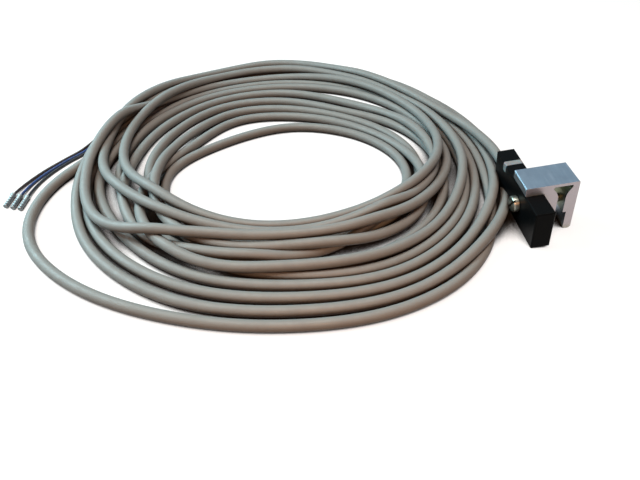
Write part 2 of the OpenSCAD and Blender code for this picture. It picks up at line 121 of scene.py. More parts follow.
# %% [markdown]
# The rows become one line. The rule used here draws a smooth curve that passes through every
# chosen point by itself. Blender's curves with handles do that only after every handle is set.
# The line is then cut into steps of equal length, so that every stretch of cable counts the same
# when it settles. Each point carries a third number, its turn's level in the heap.

# %% Course of the cable
COURSE_STEP = 3.0
CURVE_STEPS = 10


def curve_through(points, steps):
    """A smooth line through points. Each one's neighbours give the direction there."""
    p = np.asarray(points, float)
    p = np.vstack([2 * p[0] - p[1], p, 2 * p[-1] - p[-2]])
    line = []
    for i in range(1, len(p) - 2):
        a, b, c, d = p[i - 1:i + 3]
        for t in np.arange(steps) / steps:
            line.append(0.5 * (2 * b + (c - a) * t + (2 * a - 5 * b + 4 * c - d) * t * t
                               + (3 * b - a - 3 * c + d) * t ** 3))
    return np.array(line + [p[-2]])


def even(points, step):
    """The same line with its points a fixed step apart, as seen from above."""
    s = np.r_[0, np.cumsum(np.linalg.norm(np.diff(points[:, :2], axis=0), axis=1))]
    t = np.linspace(0, s[-1], int(round(s[-1] / step)) + 1)
    return np.stack([np.interp(t, s, points[:, k]) for k in range(points.shape[1])], 1)


plan, level = list(LEAD_IN), [PILE.index("first")] * len(LEAD_IN)
for name, row in TURNS.items():
    for hour, radius in enumerate(row):
        if radius is not None:
            angle = math.radians(30 * hour)
            plan.append((MIDDLE[0] + radius * math.cos(angle),
                         MIDDLE[1] + radius * math.sin(angle)))
            level.append(PILE.index(name))
on_the_table = LOOSE_LOOP + BEHIND + TAIL
plan += on_the_table
level += [0] * len(on_the_table)
course = even(curve_through(np.c_[plan, level], CURVE_STEPS), COURSE_STEP)
print("points of the course", len(course))

# %% [markdown]
# Then the coil is let fall. Every turn starts on a level of its own and sinks, and wherever two
# stretches come closer than one diameter they push each other apart. Crossings turn into low
# humps by themselves, and turns nest in the grooves between others, as they do on a table.
# Blender's cloth and rigid body simulations could do this too, but they are slow for a cord of
# this length and need a baked cache. This one is a few lines of arithmetic and always gives the
# same coil.
#
# Three helpers come first: one that smooths a row of numbers, one that finds the stretches that
# lie close to each other, and one that adds up all the pushes that a point gets.

# %% Helpers for settling
NEIGHBOURS = 8  # points this close along the cable belong to the same bend and never collide
BLOCK = 400     # points compared at a time, so that the table of distances stays small


def softened(values, rounds):
    """Every value moves toward its two neighbours. The ends stay."""
    for _ in range(rounds):
        inner = 0.25 * values[:-2] + 0.5 * values[1:-1] + 0.25 * values[2:]
        values = np.concatenate([values[:1], inner, values[-1:]])
    return values


def close_pairs(points, reach):
    """Points nearer to each other than reach, other than neighbours along the cable."""
    p, found = points.astype(np.float32), []
    for start in range(0, len(p), BLOCK):
        apart = ((p[start:start + BLOCK, None] - p[None]) ** 2).sum(2)
        i, j = np.nonzero(apart < reach * reach)
        far = j - i - start > NEIGHBOURS
        found.append(np.stack([i[far] + start, j[far]], 1))
    return np.concatenate(found)


def summed(where, values, count):
    return np.stack([np.bincount(where, values[:, k], count) for k in range(3)], 1)


print("close pairs before settling", len(close_pairs(course, CABLE_D)))

# %% [markdown]
# The settling itself runs in steps. In each one the cable sinks a little, is drawn back toward
# its planned place, and is pushed clear of itself several times over. Then it is smoothed, since
# a cable this stiff has no sharp bends. The last steps hardly sink at all, so the pushes can
# clear what still overlaps. The first stretch is held, because the housing holds the real one.

# %% Let the coil settle
SINKING, RESTING = 240, 60        # steps of each kind
SINK, REST_SINK = 0.2, 0.02       # how far the cable sinks in one step
PUSHES, REST_PUSHES = 5, 8        # rounds of pushing in one step
LEVEL_HEIGHT = 2.6                # from one turn's level to the next, before settling
PULL_HOME = 0.03                  # share of the way back to the planned place
GIVE = (0.4, 0.4, 1)              # a turn is pushed up more easily than sideways
PUSH_SHARE, FEWEST = 0.9, 1.6     # a point's pushes are divided by how many it gets
SEARCH_EVERY, SEARCH_MARGIN = 4, 2
HELD_POINTS, HELD_LENGTH = 60, 12
PLAN_ROUNDS, LEVEL_ROUNDS = 16, 60  # smoothing before settling
SIDE_ROUNDS, HEIGHT_ROUNDS = 6, 3   # smoothing in every step


def settle(course, exit_z):
    """Lets the course sink onto the table and returns its points."""
    count, floor = len(course), CABLE_D / 2
    home = np.c_[softened(course[:, :2], PLAN_ROUNDS),
                 floor + LEVEL_HEIGHT * softened(course[:, 2], LEVEL_ROUNDS)]
    held = np.linalg.norm(course[:HELD_POINTS, :2] - course[0, :2], axis=1) < HELD_LENGTH
    held = np.r_[held, np.zeros(count - len(held), bool)]
    points = home.copy()
    for step in range(SINKING + RESTING):
        points[:, 2] -= SINK if step < SINKING else REST_SINK
        points[:, :2] += PULL_HOME * (home[:, :2] - points[:, :2])
        if step % SEARCH_EVERY == 0:
            a, b = close_pairs(points, CABLE_D + SEARCH_MARGIN).T
        for _ in range(PUSHES if step < SINKING else REST_PUSHES):
            gap = points[a] - points[b]
            apart = np.maximum(np.linalg.norm(gap, axis=1), 1e-6)
            push = np.maximum(CABLE_D - apart, 0) / apart
            pushed = gap * push[:, None]
            moved = summed(a, pushed, count) - summed(b, pushed, count)
            touching = np.bincount(a, push > 0, count) + np.bincount(b, push > 0, count)
            points += moved * GIVE * (PUSH_SHARE / np.maximum(touching, FEWEST))[:, None]
            points[:, 2] = np.maximum(points[:, 2], floor)
            points[held] = np.c_[course[held, :2], np.full(held.sum(), exit_z)]
        points[:, :2] = home[:, :2] + softened(points[:, :2] - home[:, :2], SIDE_ROUNDS)
        points[:, 2] = softened(points[:, 2], HEIGHT_ROUNDS)
    points[:, 2] = np.maximum(points[:, 2], floor)
    return points


cable_line = settle(course, EXIT[2])
print("highest point of the cable's middle", round(cable_line[:, 2].max(), 1), "mm")

# %% [markdown]
# A mesh is two lists: points, and faces that name their corners by number. Cable, ferrules and
# screw are all rows of rings, with a band of four-cornered faces between every two of them and a
# cap on each end. So one helper makes a mesh from any two lists, and another numbers the faces.

# %% Meshes from rings
def new_mesh(name, points_mm, faces, smooth=True):
    mesh = bpy.data.meshes.new(name)
    mesh.from_pydata([tuple(float(c) * MM for c in p) for p in points_mm], [], faces)
    mesh.validate()
    mesh.shade_smooth() if smooth else mesh.shade_flat()
    piece = bpy.data.objects.new(name, mesh)
    bpy.context.scene.collection.objects.link(piece)
    return piece


def ring_faces(rings, sides):
    """Faces between neighbouring rings, with a cap on each end."""
    faces = [(i * sides + k, i * sides + (k + 1) % sides, (i + 1) * sides + (k + 1) % sides,
              (i + 1) * sides + k) for i in range(rings - 1) for k in range(sides)]
    faces.append(tuple(range(sides - 1, -1, -1)))
    faces.append(tuple((rings - 1) * sides + k for k in range(sides)))
    return faces


print("the faces of a tube with two rings of three", ring_faces(2, 3))

# %% [markdown]
# A tube's rings stand square to its line. Turning every ring toward the line by itself leaves
# its roll to chance, and the tube twists where it climbs. So each ring takes over the sideways
# direction of the last one and only corrects it. Blender's curve objects grow a tube from a
# bevel depth and do the same inside. Here the script places the rings, because the ferrules need
# a radius that changes along the way, and the frame asks where exactly the cable runs.

# %% A tube along a line
def unit(v):
    v = np.asarray(v, float)
    return v / np.linalg.norm(v)


def carried_rings(points, radii, sides):
    """Circles square to a line. Each one's frame is carried on from the last: no twist."""
    points = np.asarray(points, float)
    ahead = np.gradient(points, axis=0)
    ahead /= np.linalg.norm(ahead, axis=1)[:, None]
    side = unit(np.cross(ahead[0], (0, 0, 1)))
    turns = np.arange(sides) * 2 * math.pi / sides
    rings = []
    for centre, way, radius in zip(points, ahead, radii):
        side = unit(side - way * np.dot(side, way))
        up = np.cross(side, way)
        circle = np.cos(turns)[:, None] * side + np.sin(turns)[:, None] * up
        rings.append(centre + radius * circle)
    return np.vstack(rings)


def tube(name, points, radii, sides):
    radii = np.full(len(points), radii) if np.isscalar(radii) else radii
    return new_mesh(name, carried_rings(points, radii, sides), ring_faces(len(points), sides))


def length_of(points):
    return float(np.linalg.norm(np.diff(points, axis=0), axis=1).sum())


print("settled line", len(cable_line), "points,", round(length_of(cable_line)), "mm")

# %% [markdown]
# The settled line gets one more point between every two, so its bends look round, and becomes
# one tube. On the real sensor this is one extruded jacket, so it is a single piece here too:
# it replaces the five plain solids that stood for the cable and rides on the sensor's body.

# %% Cable
CABLE_SIDES = 14

cable_line = curve_through(cable_line, 2)
cable_line[0] = EXIT
cable = tube("cable", cable_line, CABLE_D / 2, CABLE_SIDES)
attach(cable, "sensor")
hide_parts("cable_lead_in", "cable_coil", "cable_loop_left", "cable_loop_right",
            "cable_tail")
print("cable", len(cable.data.polygons), "faces,", round(length_of(cable_line)), "mm")

# %% [markdown]
# Where the grey jacket ends, three thin cores come out and sag onto the table. Each one is a
# cord of its own and ends in a ferrule, a small tinned tube crimped over the bare strands. A
# ferrule is turned like a vase: a list of stations along it, each with a radius, gives the
# flared mouth, the four shallow grooves of the crimping tool and the rounded end.

# %% Shape of a ferrule
FERRULE_D, FERRULE_L, FLARE = 1.5, 6.0, 0.8
FERRULE_WAY = unit((-0.05, -1, 0))
GROOVES, GROOVE_EVERY, GROOVE_DEPTH = 4, 1.15, 0.08

ferrule_along = [0, 0.15, FLARE]
ferrule_radii = [FERRULE_D / 2 + 0.25, FERRULE_D / 2 + 0.22, FERRULE_D / 2]
for k in range(GROOVES):
    at = FLARE + 1.0 + GROOVE_EVERY * k
    ferrule_along += [at, at + 0.18, at + 0.5, at + 0.68]
    ferrule_radii += [FERRULE_D / 2, FERRULE_D / 2 - GROOVE_DEPTH, FERRULE_D / 2 - GROOVE_DEPTH,
                      FERRULE_D / 2]
ferrule_along += [FLARE + FERRULE_L - 0.12, FLARE + FERRULE_L]
ferrule_radii += [FERRULE_D / 2, FERRULE_D / 2 - 0.1]
print("ferrule", ferrule_along[-1], "mm long,", len(ferrule_along), "stations")

# %% [markdown]
# The cores are tubes through a few chosen points each, side by side as in the photograph. They
# start inside the jacket's end, touch the table where they are limp, and lift a little where the
# ferrules hold them up.

# %% Cores and ferrules
CORE_D, CORE_SIDES, FERRULE_SIDES = 1.0, 12, 20
LEADS = {
    "brown": [(-154.46, 63.7, 2.1), (-158.5, 56.6, 1.3), (-162.6, 49.4, 0.6),
              (-167.8, 42.6, 0.5), (-172.9, 35.3, 0.5), (-176.6, 27.9, 0.6), (-178.7, 20.8, 1)],
    "blue": [(-154, 63.5, 1.1), (-157.5, 56, 0.6), (-161.3, 48.6, 0.5),
             (-166.8, 41.6, 0.5), (-171.4, 34.4, 0.5), (-174.6, 27.1, 0.6), (-176, 19.8, 1)],
    "black": [(-153.54, 63.3, 2.1), (-156.5, 55.7, 1.4), (-160.2, 47.9, 0.6),
              (-165.6, 40.8, 0.5), (-169.8, 33.6, 0.5), (-172.4, 26.3, 0.6), (-173.3, 19, 1)],
}
for colour, points in LEADS.items():
    line = curve_through(points, 6)
    core = tube("core_" + colour, line, CORE_D / 2, CORE_SIDES)
    spine = np.array(points[-1], float) + np.outer(ferrule_along, FERRULE_WAY)
    ferrule = tube("ferrule_on_" + colour, spine, np.array(ferrule_radii), FERRULE_SIDES)
    for piece, slot, node in ((core, "core_" + colour, "lead_" + colour),
                              (ferrule, "ferrule_tin", "ferrule_" + colour)):
        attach(piece, "sensor")
        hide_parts(node)
    print(colour, "core", round(length_of(line), 1), "mm")

# %% [markdown]
# The sensor leans on one bottom edge and on its bracket's foot. Everything on it is easier to
# place upright, so one function turns a point of the upright sensor into its place on the table.
# An empty as a parent would do the same in Blender's window.

# %% Place on the sensor
LEAN = math.radians(8.3334)
SHIFT = np.array((-6.65343, -18, -0.067187))


def on_sensor(points):
    x, y, z = np.asarray(points, float).T
    c, s = math.cos(LEAN), math.sin(LEAN)
    return np.stack([x * c - z * s, y, x * s + z * c], 1) + SHIFT


print("the cable's exit", np.round(on_sensor([(3, 36, 6.9)])[0], 1))

# %% [markdown]
# The clamping screw passes through the case in a metal bush and threads into the bracket, so
# that turning it clamps the bracket on the cylinder's rail. It is made of rings along its axis,
# as on a lathe: a rounded head first, and then a shank whose radius follows a ridge that climbs
# half a millimetre per turn. A modifier that repeats one turn of thread, such as Screw, is the
# other common way. With rings the thread can fade at the tip.

# %% Screw's head and thread
SCREW_Y, SCREW_Z, PITCH = 14.4, 7.2, 0.5
HEAD_BACK, HEAD_FRONT, TIP = -0.05, -2.05, 15.95
SCREW_SIDES, RINGS_PER_TURN = 28, 8
CORE_R, RIDGE, FADE, FADE_LENGTH = 1.2, 0.29, 0.12, 0.5
head = [(HEAD_FRONT, 0.01), (HEAD_FRONT, 2.2), (HEAD_FRONT + 0.08, 2.42),
        (HEAD_FRONT + 0.25, 2.62), (HEAD_FRONT + 0.5, 2.72), (HEAD_FRONT + 0.75, 2.75),
        (HEAD_BACK - 0.15, 2.75), (HEAD_BACK, 2.62), (HEAD_BACK, 1.5), (HEAD_BACK + 0.15, 1.36)]
round_the_axis = np.arange(SCREW_SIDES) * 2 * math.pi / SCREW_SIDES


def off_axis(x, radius, t):
    return (x, SCREW_Y + radius * math.cos(t), SCREW_Z + radius * math.sin(t))


def thread_radius(x, t):
    """The ridge rises and falls once per pitch, and a full turn shifts it by one pitch."""
    phase = (x / PITCH - t / (2 * math.pi)) % 1.0
    ridge = 1 - abs(2 * phase - 1)
    full = min(1.0, (TIP - x) / FADE_LENGTH)
    return CORE_R + RIDGE * min(1.0, ridge * 1.25) * full - FADE * (1 - full)


rows = [[off_axis(x, r, t) for t in round_the_axis] for x, r in head]
x = HEAD_BACK + 0.3
while x < TIP - 0.02:
    rows.append([off_axis(x, thread_radius(x, t), t) for t in round_the_axis])
    x += PITCH / RINGS_PER_TURN
screw = new_mesh("clamping_screw", on_sensor(np.array(rows).reshape(-1, 3)),
                 ring_faces(len(rows), SCREW_SIDES))
print("screw", len(rows), "rings")

# %% [markdown]
# The driver slot is cut with a boolean, as a saw would cut it: a flat block stands across the
# head, turned by 35 degrees, and is taken away from it. The cut is made final at once, because a
# modifier would need the block to stay in the scene. Then the edges steeper than 38 degrees are
# marked sharp, so the head shades as turned metal with crisp rims.

# %% Screw's driver slot
SLOT_TURN, SLOT_HALF, SLOT_DEPTH, SLOT_REACH = math.radians(35), 0.4, 0.9, 5

block = [(dx, SCREW_Y + dy * math.cos(SLOT_TURN) - dz * math.sin(SLOT_TURN),
          SCREW_Z + dy * math.sin(SLOT_TURN) + dz * math.cos(SLOT_TURN))
         for dx in (HEAD_FRONT - 1, HEAD_FRONT + SLOT_DEPTH)
         for dy in (-SLOT_HALF, SLOT_HALF) for dz in (-SLOT_REACH, SLOT_REACH)]
saw = new_mesh("saw", on_sensor(block), [(0, 1, 3, 2), (4, 6, 7, 5), (0, 4, 5, 1), (2, 3, 7, 6),
                                        (0, 2, 6, 4), (1, 5, 7, 3)], smooth=False)
cut = screw.modifiers.new("slot", "BOOLEAN")
cut.operation, cut.object, cut.solver = "DIFFERENCE", saw, "EXACT"
sawn = bpy.data.meshes.new_from_object(screw.evaluated_get(bpy.context.evaluated_depsgraph_get()))
screw.modifiers.clear()
screw.data = sawn
bpy.data.objects.remove(saw)
screw.data.set_sharp_from_angle(angle=math.radians(38))
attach(screw, "clamp_screw")
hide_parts("clamp_screw")
print("screw", len(screw.data.polygons), "faces")

# %% [markdown]
# Now the materials. Their colours are written as hex values, which anyone can pick from a
# picture. Those are made for screens, though, and a renderer adds up light. One function turns
# the one into the other, and without it every colour would come out too pale.

# %% Colours
def linear(hex_colour):
    """A colour as a painter or a website writes it, turned into the values light adds up in."""
    parts = [int(hex_colour[i:i + 2], 16) / 255 for i in (0, 2, 4)]
    return tuple(c / 12.92 if c <= 0.04045 else ((c + 0.055) / 1.055) ** 2.4
                 for c in parts) + (1,)


print("mid grey 808080 is", round(linear("808080")[0], 3), "in light")

# %% [markdown]
# Each material is a small tree of nodes: a colour that varies a little, a roughness that varies
# too, and a fine bump. Real surfaces are never even, and it is the uneven highlight that tells
# the eye what a thing is made of.
#
# One function adds a node: its settings, and its inputs, where a plain value is set and another
# node is linked. Every material starts from the object's own coordinates, turned into
# millimetres, so that a pattern's scale is one over its real size. A Mix node that mixes colours
# takes them on its inputs 6 and 7 and gives the result on its output 2. Dragging wires between
# nodes in the shader editor gives the same tree, but can't be repeated for the next material.

# %% Nodes
# noise seldom leaves this range, so it is stretched from here to the low and high values
NOISE_RANGE = {"From Min": 0.3, "From Max": 0.7}


def add(tree, kind, inputs, **settings):
    """Adds one node. An input takes a value, a socket, or a node, which means its first output."""
    node = tree.nodes.new("ShaderNode" + kind)
    for name, value in settings.items():
        setattr(node, name, value)
    for name, value in inputs.items():
        if isinstance(value, bpy.types.Node):
            value = value.outputs[0]
        if isinstance(value, bpy.types.NodeSocket):
            tree.links.new(value, node.inputs[name])
        else:
            node.inputs[name].default_value = value
    return node


def start_material(name):
    material = bpy.data.materials.new(name)
    material.use_nodes = True
    tree = material.node_tree
    tree.nodes.clear()
    place = add(tree, "TexCoord", {}).outputs["Object"]
    mm = add(tree, "VectorMath", {0: place, 1: (1 / MM, 1 / MM, 1 / MM)}, operation="MULTIPLY")
    return material, tree, mm


def dress(name, material):
    piece = bpy.data.objects[name]
    piece.data.materials.clear()
    piece.data.materials.append(material)


print("noise is read from", NOISE_RANGE["From Min"], "to", NOISE_RANGE["From Max"])

# %% [markdown]
# The cable's jacket is soft grey PVC, extruded round the cores. It is matte, with broad patches
# where it was handled and a grain too faint to see singly. Where two turns touch, the jacket's
# colour is painted dark brown, a painted shade that draws a dark line between them. Ambient
# occlusion finds those places: it asks how open a point is within three millimetres. Painting
# them by hand would take the same care for every turn.

# %% Grey PVC of the cable
def cable_pvc():
    material, tree, mm = start_material("cable_grey_pvc")
    patch_mm, mark_mm = 50, 4
    grain_mm = 1 / 6  # coarser than the real grain, which wouldn't show
    patches = add(tree, "TexNoise", {"Vector": mm, "Scale": 1 / patch_mm, "Detail": 2})
    marks = add(tree, "TexNoise", {"Vector": mm, "Scale": 1 / mark_mm, "Detail": 4,
                                   "Roughness": 0.6})
    grain = add(tree, "TexNoise", {"Vector": mm, "Scale": 1 / grain_mm, "Detail": 2})
    jacket = add(tree, "Mix", {0: patches, 6: linear("6f706e"), 7: linear("6a6e6e")},
                 data_type="RGBA").outputs[2]
    marked = add(tree, "MapRange", {"Value": marks, **NOISE_RANGE, "To Min": 0, "To Max": 0.35})
    jacket = add(tree, "Mix", {0: marked, 6: jacket, 7: linear("5f5f5e")},
                 data_type="RGBA").outputs[2]
    # painted shade: where ambient occlusion finds two turns touching, the jacket's colour turns
    # dark brown
    open_to = add(tree, "AmbientOcclusion", {"Distance": 3 * MM}, samples=6).outputs["AO"]
    unshaded = add(tree, "MapRange", {"Value": open_to, **NOISE_RANGE, "To Min": 0, "To Max": 1})
    jacket = add(tree, "Mix", {0: unshaded, 6: linear("2b2622"), 7: jacket},
                 data_type="RGBA").outputs[2]
    rough = add(tree, "MapRange", {"Value": marks, **NOISE_RANGE, "To Min": 0.42, "To Max": 0.55})
    skin = add(tree, "Bump", {"Height": grain, "Distance": 0.02 * MM, "Strength": 0.5})
    surface = add(tree, "BsdfPrincipled", {"Base Color": jacket, "Roughness": rough, "IOR": 1.53,
                                           "Specular IOR Level": 0.2, "Normal": skin})
    add(tree, "OutputMaterial", {"Surface": surface})
    return material


dress("cable", cable_pvc())

# %% [markdown]
# The cores have a thin coat of harder PVC, dyed through. It was drawn tight over the strands, so
# it is smoother than the jacket and shows a narrow line of light along the top. The wires inside
# the case are the same cores, so they share the material.

# %% Dyed PVC of the cores
CORES = {"brown": ("24150f", "180e0a"), "blue": ("1b3465", "15284e"), "black": ("121318", "0b0c10")}


def core_pvc(name, base, dark):
    material, tree, mm = start_material(name)
    mark_mm = 5 / 3
    grain_mm = 1 / 9  # coarser than the real grain, which wouldn't show
    marks = add(tree, "TexNoise", {"Vector": mm, "Scale": 1 / mark_mm, "Detail": 3})
    grain = add(tree, "TexNoise", {"Vector": mm, "Scale": 1 / grain_mm, "Detail": 2})
    marked = add(tree, "MapRange", {"Value": marks, **NOISE_RANGE, "To Min": 0, "To Max": 1})
    coat = add(tree, "Mix", {0: marked, 6: linear(base), 7: linear(dark)},
               data_type="RGBA").outputs[2]
    rough = add(tree, "MapRange", {"Value": marks, **NOISE_RANGE, "To Min": 0.3, "To Max": 0.42})
    skin = add(tree, "Bump", {"Height": grain, "Distance": 0.01 * MM, "Strength": 0.4})
    surface = add(tree, "BsdfPrincipled", {"Base Color": coat, "Roughness": rough, "IOR": 1.53,
                                           "Normal": skin})
    add(tree, "OutputMaterial", {"Surface": surface})
    return material


for colour, (base, dark) in CORES.items():
    material = core_pvc("core_pvc_" + colour, base, dark)
    for name in ("core_" + colour, "wire_" + colour):
        dress(name, material)
    print("core", colour, base)

# %% [markdown]
# The small metal pieces were turned, drawn or rolled, and each of these ways leaves streaks along
# the tool's path. The noise is stretched for it: a factor above one along an axis packs the
# pattern closer that way. A metal has no colour under its shine, so the base colour is the shine,
# and its IOR stays at Blender's default.

# %% Worked metals
TARNISH_MM = 10 / 3


def worked_metal(name, base, second, rough, pack=(1, 1, 1), streak_mm=0.5):
    material, tree, mm = start_material(name)
    packed = add(tree, "VectorMath", {0: mm, 1: pack}, operation="MULTIPLY")
    streaks = add(tree, "TexNoise", {"Vector": packed, "Scale": 1 / streak_mm, "Detail": 4,
                                     "Roughness": 0.6})
    broad = add(tree, "TexNoise", {"Vector": mm, "Scale": 1 / TARNISH_MM, "Detail": 2})
    tarnish = add(tree, "MapRange", {"Value": broad, **NOISE_RANGE, "To Min": 0, "To Max": 1})
    shine = add(tree, "Mix", {0: tarnish, 6: linear(base), 7: linear(second)},
                data_type="RGBA").outputs[2]
    rough = add(tree, "MapRange", {"Value": streaks, **NOISE_RANGE, "To Min": rough - 0.08,
                                   "To Max": rough + 0.1})
    skin = add(tree, "Bump", {"Height": streaks, "Distance": 0.02 * MM, "Strength": 0.6})
    surface = add(tree, "BsdfPrincipled", {"Base Color": shine, "Metallic": 1.0,
                                           "Roughness": rough, "Normal": skin})
    add(tree, "OutputMaterial", {"Surface": surface})
    return material


METALS = {
    # turned and zinc plated: greyish, with fine rings round the head that blur its highlight
    "clamping_screw": worked_metal("screw_turned_steel", "96998f", "83867d", 0.36, (5, 1, 1)),
    # turned and left bare, a little brighter than the screw
    "screw_bush": worked_metal("bush_turned_steel", "b9b7b0", "a9a7a0", 0.28, (4, 1, 1)),
    # rolled nickel-iron strip: smooth and slightly yellow
    "reed_blade_front": worked_metal("reed_nickel_iron", "b9b2a0", "a59e8c", 0.25,
                                     streak_mm=2 / 3),
    # solder that ran and set: soft, bright lumps
    "solder_joints": worked_metal("solder_tin", "c4c6c8", "aeb0b3", 0.3, streak_mm=2 / 3),
}
METALS["reed_blade_rear"] = METALS["reed_blade_front"]
# drawn copper tube with a dull coat of tin: it answers the light, but mirrors nothing
tinned = worked_metal("ferrule_tinned_copper", "7f8384", "6e7273", 0.5, (1, 4, 1))
for colour in CORES:
    METALS["ferrule_on_" + colour] = tinned
for name, material in METALS.items():
    dress(name, material)
print("metal pieces", len(METALS))

# %% [markdown]
# The bracket is one cut of an aluminium extrusion. The faces that slid through the die are
# smooth, with fine lines along their length, and mirror the room softly. The two ends were sawn:
# they are matt, slightly warmer, and carry the saw's arcs. Both finishes live in one material,
# and the face's own direction chooses between them. Two materials on one mesh would need the
# faces picked out first.
#
# Deep in the channel the real metal looks olive, since it mirrors its own shaded walls. Here
# that olive is a painted reflection and shade: ambient occlusion tints the colour there. A bevel
# node rounds the edges for the light alone, as a deburred edge would.

# %% Extruded aluminium of the bracket
DIE_LINE_MM, SAW_MARK_MM, PATCH_MM = 1 / 3, 0.349, 4
RINGS_AT_SCALE_1 = 20 / (2 * math.pi)  # how many rings per unit the wave texture draws


def extruded_aluminium():
    material, tree, mm = start_material("bracket_aluminium_extruded")
    # the lines of the die are 25 times as long as wide
    drawn = add(tree, "VectorMath", {0: mm, 1: (1, 1 / 25, 1)}, operation="MULTIPLY")
    lines = add(tree, "TexNoise", {"Vector": drawn, "Scale": 1 / DIE_LINE_MM, "Detail": 4,
                                   "Roughness": 0.6})
    saw = add(tree, "TexWave", {"Vector": mm, "Scale": 1 / (SAW_MARK_MM * RINGS_AT_SCALE_1),
                                "Distortion": 1.2, "Detail": 2.0, "Detail Scale": 1.5},
              wave_type="RINGS", rings_direction="Y").outputs["Fac"]
    facing = add(tree, "NewGeometry", {}).outputs["True Normal"]
    along_y = add(tree, "SeparateXYZ", {0: facing}).outputs["Y"]
    along_y = add(tree, "Math", {0: along_y}, operation="ABSOLUTE")
    end_on = add(tree, "Math", {0: along_y, 1: 0.9}, operation="GREATER_THAN")
    broad = add(tree, "TexNoise", {"Vector": mm, "Scale": 1 / PATCH_MM, "Detail": 3})
    tarnish = add(tree, "MapRange", {"Value": broad, **NOISE_RANGE, "To Min": 0, "To Max": 1})
    # the die faces' colour is the metal's own pale grey with a blue cast, a painted reflection of
    # the sky
    die_face = add(tree, "Mix", {0: tarnish, 6: linear("a3b3c0"), 7: linear("98a7b4")},
                   data_type="RGBA").outputs[2]
    sawn_face = add(tree, "Mix", {0: saw, 6: linear("b5aeb0"), 7: linear("a79fa2")},
                    data_type="RGBA").outputs[2]
    shine = add(tree, "Mix", {0: end_on, 6: die_face, 7: sawn_face},
                data_type="RGBA").outputs[2]
    # painted reflection and shade: the colour turns olive where ambient occlusion finds the
    # channel's hollow
    open_to = add(tree, "AmbientOcclusion", {"Distance": 5 * MM}, samples=8).outputs["AO"]
    outside = add(tree, "MapRange", {"Value": open_to, **NOISE_RANGE, "To Min": 0, "To Max": 1})
    shine = add(tree, "Mix", {0: outside, 6: linear("9ea180"), 7: shine},
                data_type="RGBA").outputs[2]
    die_rough = add(tree, "MapRange", {"Value": lines, **NOISE_RANGE, "To Min": 0.3,
                                       "To Max": 0.42})
    saw_rough = add(tree, "MapRange", {"Value": saw, **NOISE_RANGE, "To Min": 0.45,
                                       "To Max": 0.6})
    rough = add(tree, "Mix", {0: end_on, 2: die_rough, 3: saw_rough})
    height = add(tree, "Mix", {0: end_on, 2: lines, 3: saw})
    edge = add(tree, "Bevel", {"Radius": 0.12 * MM}, samples=4)
    skin = add(tree, "Bump", {"Height": height, "Distance": 0.02 * MM, "Strength": 0.6,
                              "Normal": edge})
    surface = add(tree, "BsdfPrincipled", {"Base Color": shine, "Metallic": 1.0,
                                           "Roughness": rough, "Normal": skin})
    add(tree, "OutputMaterial", {"Surface": surface})
    return material


dress("bracket", extruded_aluminium())
print("saw marks every", SAW_MARK_MM, "mm")

# %% [markdown]
# The case and the small parts inside are moulded or cast. A mould leaves a very fine, even grain,
# and handling polishes it in patches, so the roughness wanders while the colour hardly does. The
# black case is filled polyamide: it is so matte that it mirrors next to nothing, and only its
# edges catch a thin line of light, which the bevel node gives it.

# %% Moulded plastics
GRAIN_MM = 1 / 7  # the mould's own grain is finer, and is drawn this coarse so that it shows


def moulded(name, base, second, rough, depth=0.012, wear_mm=0.4, edge_mm=0.0, gloss=0.5):
    material, tree, mm = start_material(name)
    grain = add(tree, "TexNoise", {"Vector": mm, "Scale": 1 / GRAIN_MM, "Detail": 3})
    marks = add(tree, "TexNoise", {"Vector": mm, "Scale": 1 / wear_mm, "Detail": 4,
                                   "Roughness": 0.65})
    marked = add(tree, "MapRange", {"Value": marks, **NOISE_RANGE, "To Min": 0, "To Max": 1})
    colour = add(tree, "Mix", {0: marked, 6: linear(base), 7: linear(second)},
                 data_type="RGBA").outputs[2]
    rough = add(tree, "MapRange", {"Value": marks, **NOISE_RANGE, "To Min": rough - 0.06,
                                   "To Max": rough + 0.08})
    relief = {"Height": grain, "Distance": depth * MM, "Strength": 0.5}
    if edge_mm:
        relief["Normal"] = add(tree, "Bevel", {"Radius": edge_mm * MM}, samples=4)
    skin = add(tree, "Bump", relief)
    surface = add(tree, "BsdfPrincipled", {"Base Color": colour, "Roughness": rough, "IOR": 1.5,
                                           "Specular IOR Level": gloss, "Normal": skin})
    add(tree, "OutputMaterial", {"Surface": surface})
    return material


black = moulded("housing_black_moulded", "090a0b", "060708", 0.34, depth=0.015, wear_mm=5 / 9,
                edge_mm=0.15, gloss=0.03)
PLASTICS = {
    # the case and its cover are the same plastic
    "housing": black, "side_cover": black,
    # green lacquer over glass fibre: even and half glossy
    "circuit_board": moulded("board_green_mask", "1f5a36", "17472a", 0.35),
    # cast resin, clear and glossy in reality; drawn opaque, since it is hidden in the case
    "led": moulded("led_amber_resin", "d9a520", "c4921a", 0.2),
    # fired ceramic: dull and black
    "resistor": moulded("resistor_black_ceramic", "2a2a2e", "222226", 0.5),
    # lacquered glass bead: the glossiest of them
    "protection_diode": moulded("diode_red_glass", "8c3b2a", "73301f", 0.15),
    # soft rubber: the dullest of them
    "cable_seal": moulded("seal_black_rubber", "1c1c1e", "161618", 0.6),
}
for name, material in PLASTICS.items():
    dress(name, material)
print("moulded pieces", len(PLASTICS))

# %% [markdown]
# Two pieces let light through. The light window is frosted acrylic that spreads the lamp's glow
# over the edge of the case. Light goes about a millimetre into it and comes out elsewhere, which
# is what the subsurface inputs are for, and makes it look milky and soft. The reed switch sits in
# a drawn glass capsule, greenish from iron, clear and hard.

